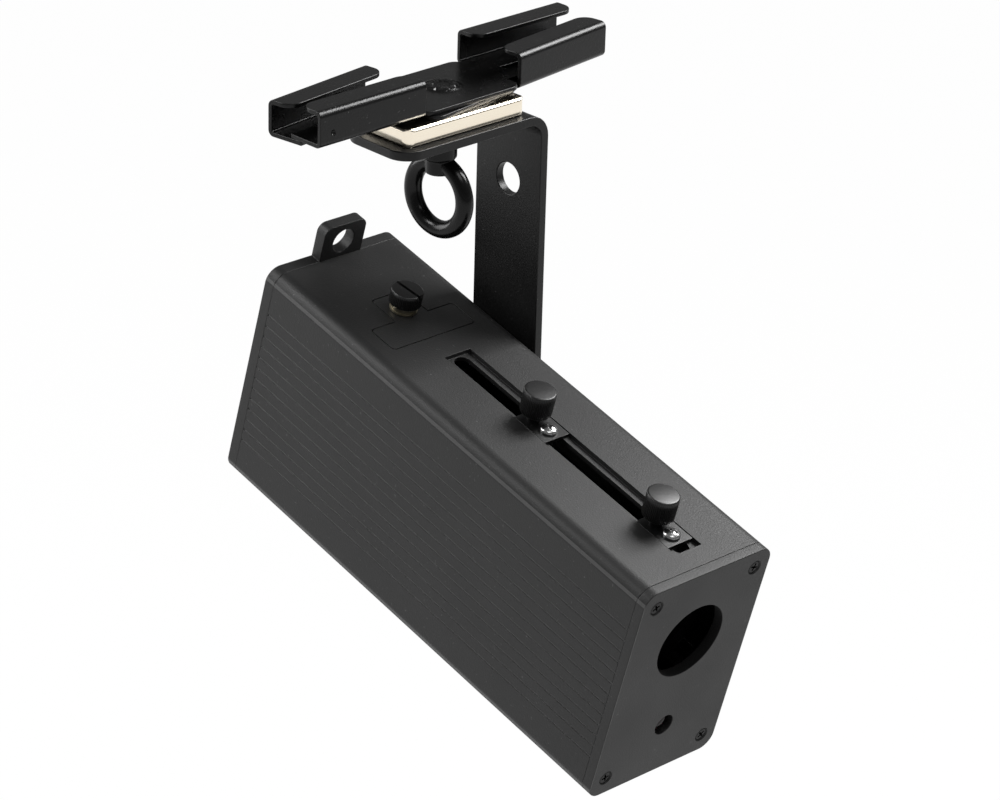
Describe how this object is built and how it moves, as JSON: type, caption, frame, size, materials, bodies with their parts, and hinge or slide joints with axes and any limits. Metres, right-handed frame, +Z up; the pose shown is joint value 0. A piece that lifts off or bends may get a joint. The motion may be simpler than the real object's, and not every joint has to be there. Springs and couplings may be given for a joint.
{
  "type": "gobo projector",
  "caption": "Small tilting gobo projector on an L bracket with magnet, eye bolt and drop-ceiling scissor clip.",
  "frame": {"origin": "centre of the magnet's top face, where the part is held", "axes": "+X along the tilt axis towards the bracket's leg, -Y the side that the beam leaves on, +Z up"},
  "size_m": [0.1268, 0.1933, 0.2005],
  "materials": {
    "powder_black": "fine-textured black powder coat",
    "bracket_black": "satin black paint on steel strip",
    "magnet_nickel": "nickel-plated magnet",
    "eye_black": "gloss black oxide on forged steel",
    "washer_black": "dark friction washer",
    "tilt_knob_black": "matte moulded plastic",
    "bright_steel": "bright nickel-plated steel",
    "clip_black": "satin black stamped steel",
    "screw_black": "black oxide",
    "ir_window": "dark red infrared window",
    "circuit_board": "solder mask",
    "brass": "turned, nickel-brass tone",
    "inner_aluminium": "machined",
    "lens_glass": "coated optical glass",
    "board_white": "white lamp board",
    "emitter": "yellow phosphor under a dome",
    "tray_grey": "moulded tray",
    "cell_wrap": "shrink-wrapped cells",
    "socket_black": "moulded socket and bezel",
    "rocker_black": "moulded rocker",
    "indicator_green": "translucent indicator",
    "gobo_steel": "etched thin steel",
    "barrel_black": "black anodised",
    "slider_black": "black slider plate",
    "knob_black": "black knurled knob"
  },
  "bodies": {
    "bracket": {"bracket": "bracket_black", "magnet": "magnet_nickel", "eye_bolt": "eye_black", "pivot_washer": "washer_black"},
    "tilt_knob": {"tilt_knob": "tilt_knob_black", "tilt_stud": "bright_steel"},
    "clip_rivet": {"clip_rivet": "clip_black"},
    "clip_lower": {"clip_lower_arm": "clip_black"},
    "clip_upper": {"clip_upper_arm": "clip_black"},
    "front_carriage": {"front_lens_barrel": "barrel_black", "front_lens": "lens_glass", "front_lens_ring": "barrel_black", "front_slider_plate": "slider_black", "front_slider_screw": "bright_steel"},
    "front_knob": {"front_slider_knob": "knob_black"},
    "rear_carriage": {"rear_lens_barrel": "barrel_black", "rear_lens": "lens_glass", "rear_lens_ring": "barrel_black", "rear_slider_plate": "slider_black", "rear_slider_screw": "bright_steel"},
    "rear_knob": {"rear_slider_knob": "knob_black"},
    "gobo_holder": {"gobo_cap": "powder_black", "gobo_disc": "gobo_steel", "gobo_ring": "bright_steel", "thumbscrew_collar": "brass"},
    "gobo_thumbscrew": {"gobo_thumbscrew": "knob_black"},
    "power_rocker": {"power_rocker": "rocker_black"},
    "housing": {"housing_shell": "powder_black", "front_plate": "powder_black", "front_plate_screws": "screw_black", "rear_plate": "powder_black", "rear_plate_screws": "screw_black", "ir_window": "ir_window", "ir_sensor": "circuit_board", "tilt_bush": "brass", "guide_rods": "bright_steel", "gobo_gate": "inner_aluminium", "condenser_holder": "inner_aluminium", "condenser_lens": "lens_glass", "led_board": "board_white", "led_emitter": "emitter", "heat_sink": "inner_aluminium", "battery_tray": "tray_grey", "battery_cells": "cell_wrap", "driver_board": "circuit_board", "dc_socket": "socket_black", "switch_bezel": "socket_black", "charge_indicator": "indicator_green", "thumbscrew_block": "inner_aluminium"}
  },
  "joints": [
    {"name": "housing_tilt", "type": "hinge", "parent": "bracket", "child": "housing", "pos_m": [0.03095, 0, -0.11835], "axis": [1, 0, 0], "range_deg": [-50.5, 19.5]},
    {"name": "tilt_knob_turn", "type": "hinge", "parent": "bracket", "child": "tilt_knob", "pos_m": [0.03095, 0, -0.11835], "axis": [1, 0, 0], "range_deg": [-180, 180]},
    {"name": "clip_lift", "type": "slide", "parent": "bracket", "child": "clip_rivet", "axis": [0, 0, 1], "range_m": [0, 0.03]},
    {"name": "clip_pan", "type": "hinge", "parent": "clip_rivet", "child": "clip_lower", "pos_m": [0.005, 0.006, 0], "axis": [0, 0, 1], "continuous": true},
    {"name": "clip_scissor", "type": "hinge", "parent": "clip_lower", "child": "clip_upper", "pos_m": [0.005, 0.006, 0], "axis": [0, 0, 1], "range_deg": [-2, 55]},
    {"name": "front_lens_slide", "type": "slide", "parent": "housing", "child": "front_carriage", "axis": [0, 0.9636, 0.2672], "range_m": [-0.0032, 0.033]},
    {"name": "front_knob_turn", "type": "hinge", "parent": "front_carriage", "child": "front_knob", "pos_m": [0.00015, -0.09722, -0.1038], "axis": [0, -0.2672, 0.9636], "range_deg": [-180, 180]},
    {"name": "rear_lens_slide", "type": "slide", "parent": "housing", "child": "rear_carriage", "axis": [0, 0.9636, 0.2672], "range_m": [-0.033, 0.0325]},
    {"name": "rear_knob_turn", "type": "hinge", "parent": "rear_carriage", "child": "rear_knob", "pos_m": [0.00015, -0.04374, -0.08897], "axis": [0, -0.2672, 0.9636], "range_deg": [-180, 180]},
    {"name": "gobo_lift", "type": "slide", "parent": "housing", "child": "gobo_holder", "axis": [0, -0.2672, 0.9636], "range_m": [0, 0.018]},
    {"name": "gobo_screw_turn", "type": "hinge", "parent": "gobo_holder", "child": "gobo_thumbscrew", "pos_m": [-0.00055, 0.01571, -0.07248], "axis": [0, -0.2672, 0.9636], "range_deg": [-180, 180]},
    {"name": "power_switch", "type": "hinge", "parent": "housing", "child": "power_rocker", "pos_m": [0.01045, 0.06659, -0.12271], "axis": [1, 0, 0], "range_deg": [-20, 0]}
  ]
}
